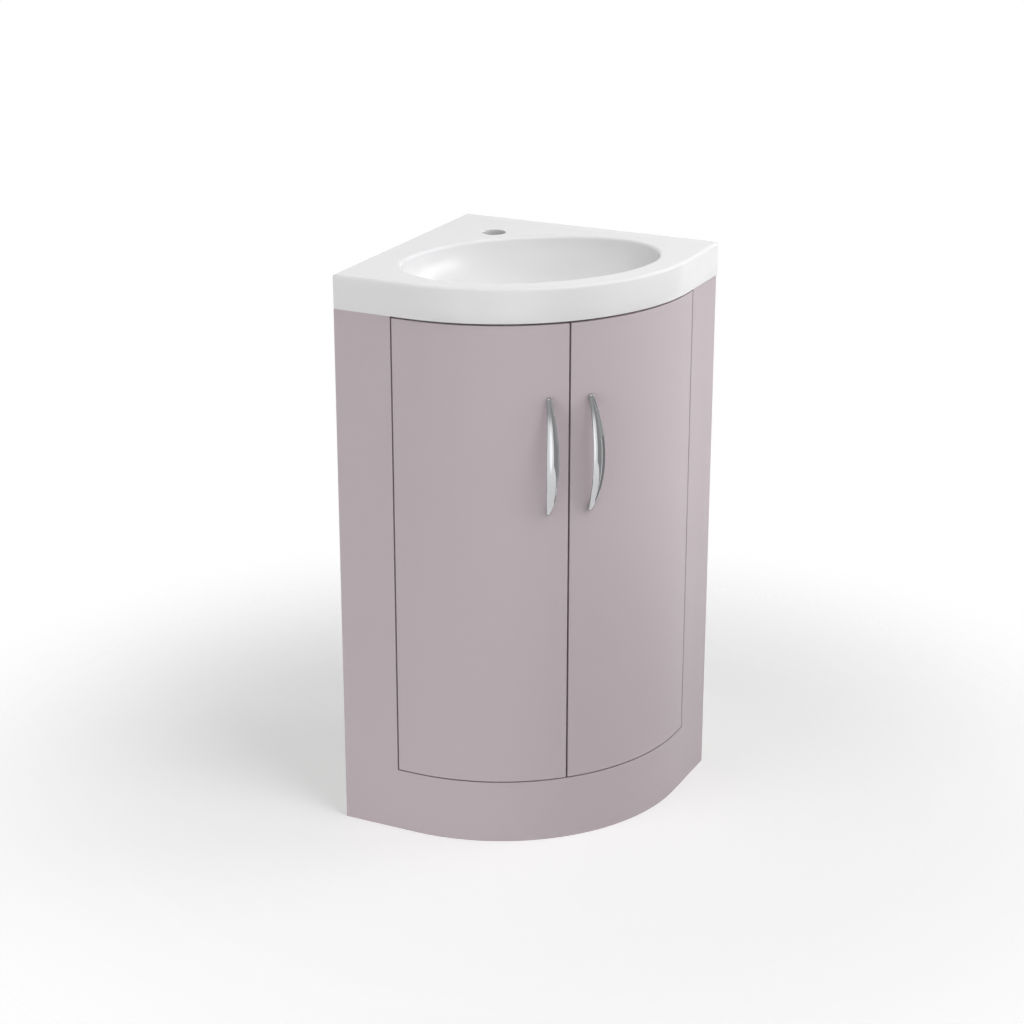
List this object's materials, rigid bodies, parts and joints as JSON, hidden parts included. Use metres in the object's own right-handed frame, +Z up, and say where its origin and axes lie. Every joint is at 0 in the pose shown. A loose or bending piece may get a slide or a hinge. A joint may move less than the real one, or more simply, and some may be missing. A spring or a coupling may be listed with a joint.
{
  "type": "corner vanity unit",
  "caption": "Floor-standing corner vanity unit with a quarter-round front, an inset oval basin, two curved doors on concealed hinges and bow handles.",
  "frame": {"origin": "middle of the bounding box, on the floor", "axes": "+Z up; the left wall side faces -X, the right wall side faces +Y, and the curved front faces +X and -Y"},
  "size_m": [0.418, 0.418, 0.85],
  "materials": {
    "basin_glaze": "smooth white glaze",
    "painted_board": "matt mauve-grey paint on fibreboard",
    "white_board": "fine-textured white melamine on chipboard",
    "handle_chrome": "polished chrome",
    "hinge_nickel": "nickel-plated pressed steel",
    "screw_zinc": "zinc-plated steel",
    "dowel_wood": "plain beech",
    "buffer_pad": "soft clear pad"
  },
  "bodies": {
    "cabinet": {"basin": "basin_glaze", "front_frame": "painted_board", "left_wall_panel": "white_board", "right_wall_panel": "white_board", "base_panel": "white_board", "shelf": "white_board", "shelf_pegs": "screw_zinc", "left_hinge_post": "white_board", "right_hinge_post": "white_board", "top_rail": "white_board", "door_buffers": "buffer_pad", "frame_dowels": "dowel_wood", "panel_screws": "screw_zinc", "left_hinge_arms": "hinge_nickel", "left_hinge_plates": "hinge_nickel", "right_hinge_arms": "hinge_nickel", "right_hinge_plates": "hinge_nickel", "plate_screws": "screw_zinc", "arm_screws": "screw_zinc"},
    "left_link": {"left_hinge_links": "hinge_nickel", "left_link_pins": "hinge_nickel"},
    "left_door": {"left_door": "painted_board", "left_handle": "handle_chrome", "left_handle_screws": "screw_zinc", "left_hinge_cups": "hinge_nickel", "left_cup_screws": "screw_zinc"},
    "right_link": {"right_hinge_links": "hinge_nickel", "right_link_pins": "hinge_nickel"},
    "right_door": {"right_door": "painted_board", "right_handle": "handle_chrome", "right_handle_screws": "screw_zinc", "right_hinge_cups": "hinge_nickel", "right_cup_screws": "screw_zinc"}
  },
  "joints": [
    {"name": "left_link_turn", "type": "hinge", "parent": "cabinet", "child": "left_link", "pos_m": [-0.0885, -0.17495, 0.448], "axis": [0, 0, -1], "range_deg": [-19.01, 0]},
    {"name": "left_door_turn", "type": "hinge", "parent": "left_link", "child": "left_door", "pos_m": [-0.1025, -0.19495, 0.448], "axis": [0, 0, -1], "range_deg": [0, 114]},
    {"name": "right_link_turn", "type": "hinge", "parent": "cabinet", "child": "right_link", "pos_m": [0.17495, 0.0885, 0.448], "axis": [0, 0, 1], "range_deg": [-19.01, 0]},
    {"name": "right_door_turn", "type": "hinge", "parent": "right_link", "child": "right_door", "pos_m": [0.19495, 0.1025, 0.448], "axis": [0, 0, 1], "range_deg": [0, 114]}
  ],
  "couplings": [
    {"joint": "left_link_turn", "follows": "left_door_turn", "ratio": -0.16667},
    {"joint": "right_link_turn", "follows": "right_door_turn", "ratio": -0.16667}
  ]
}
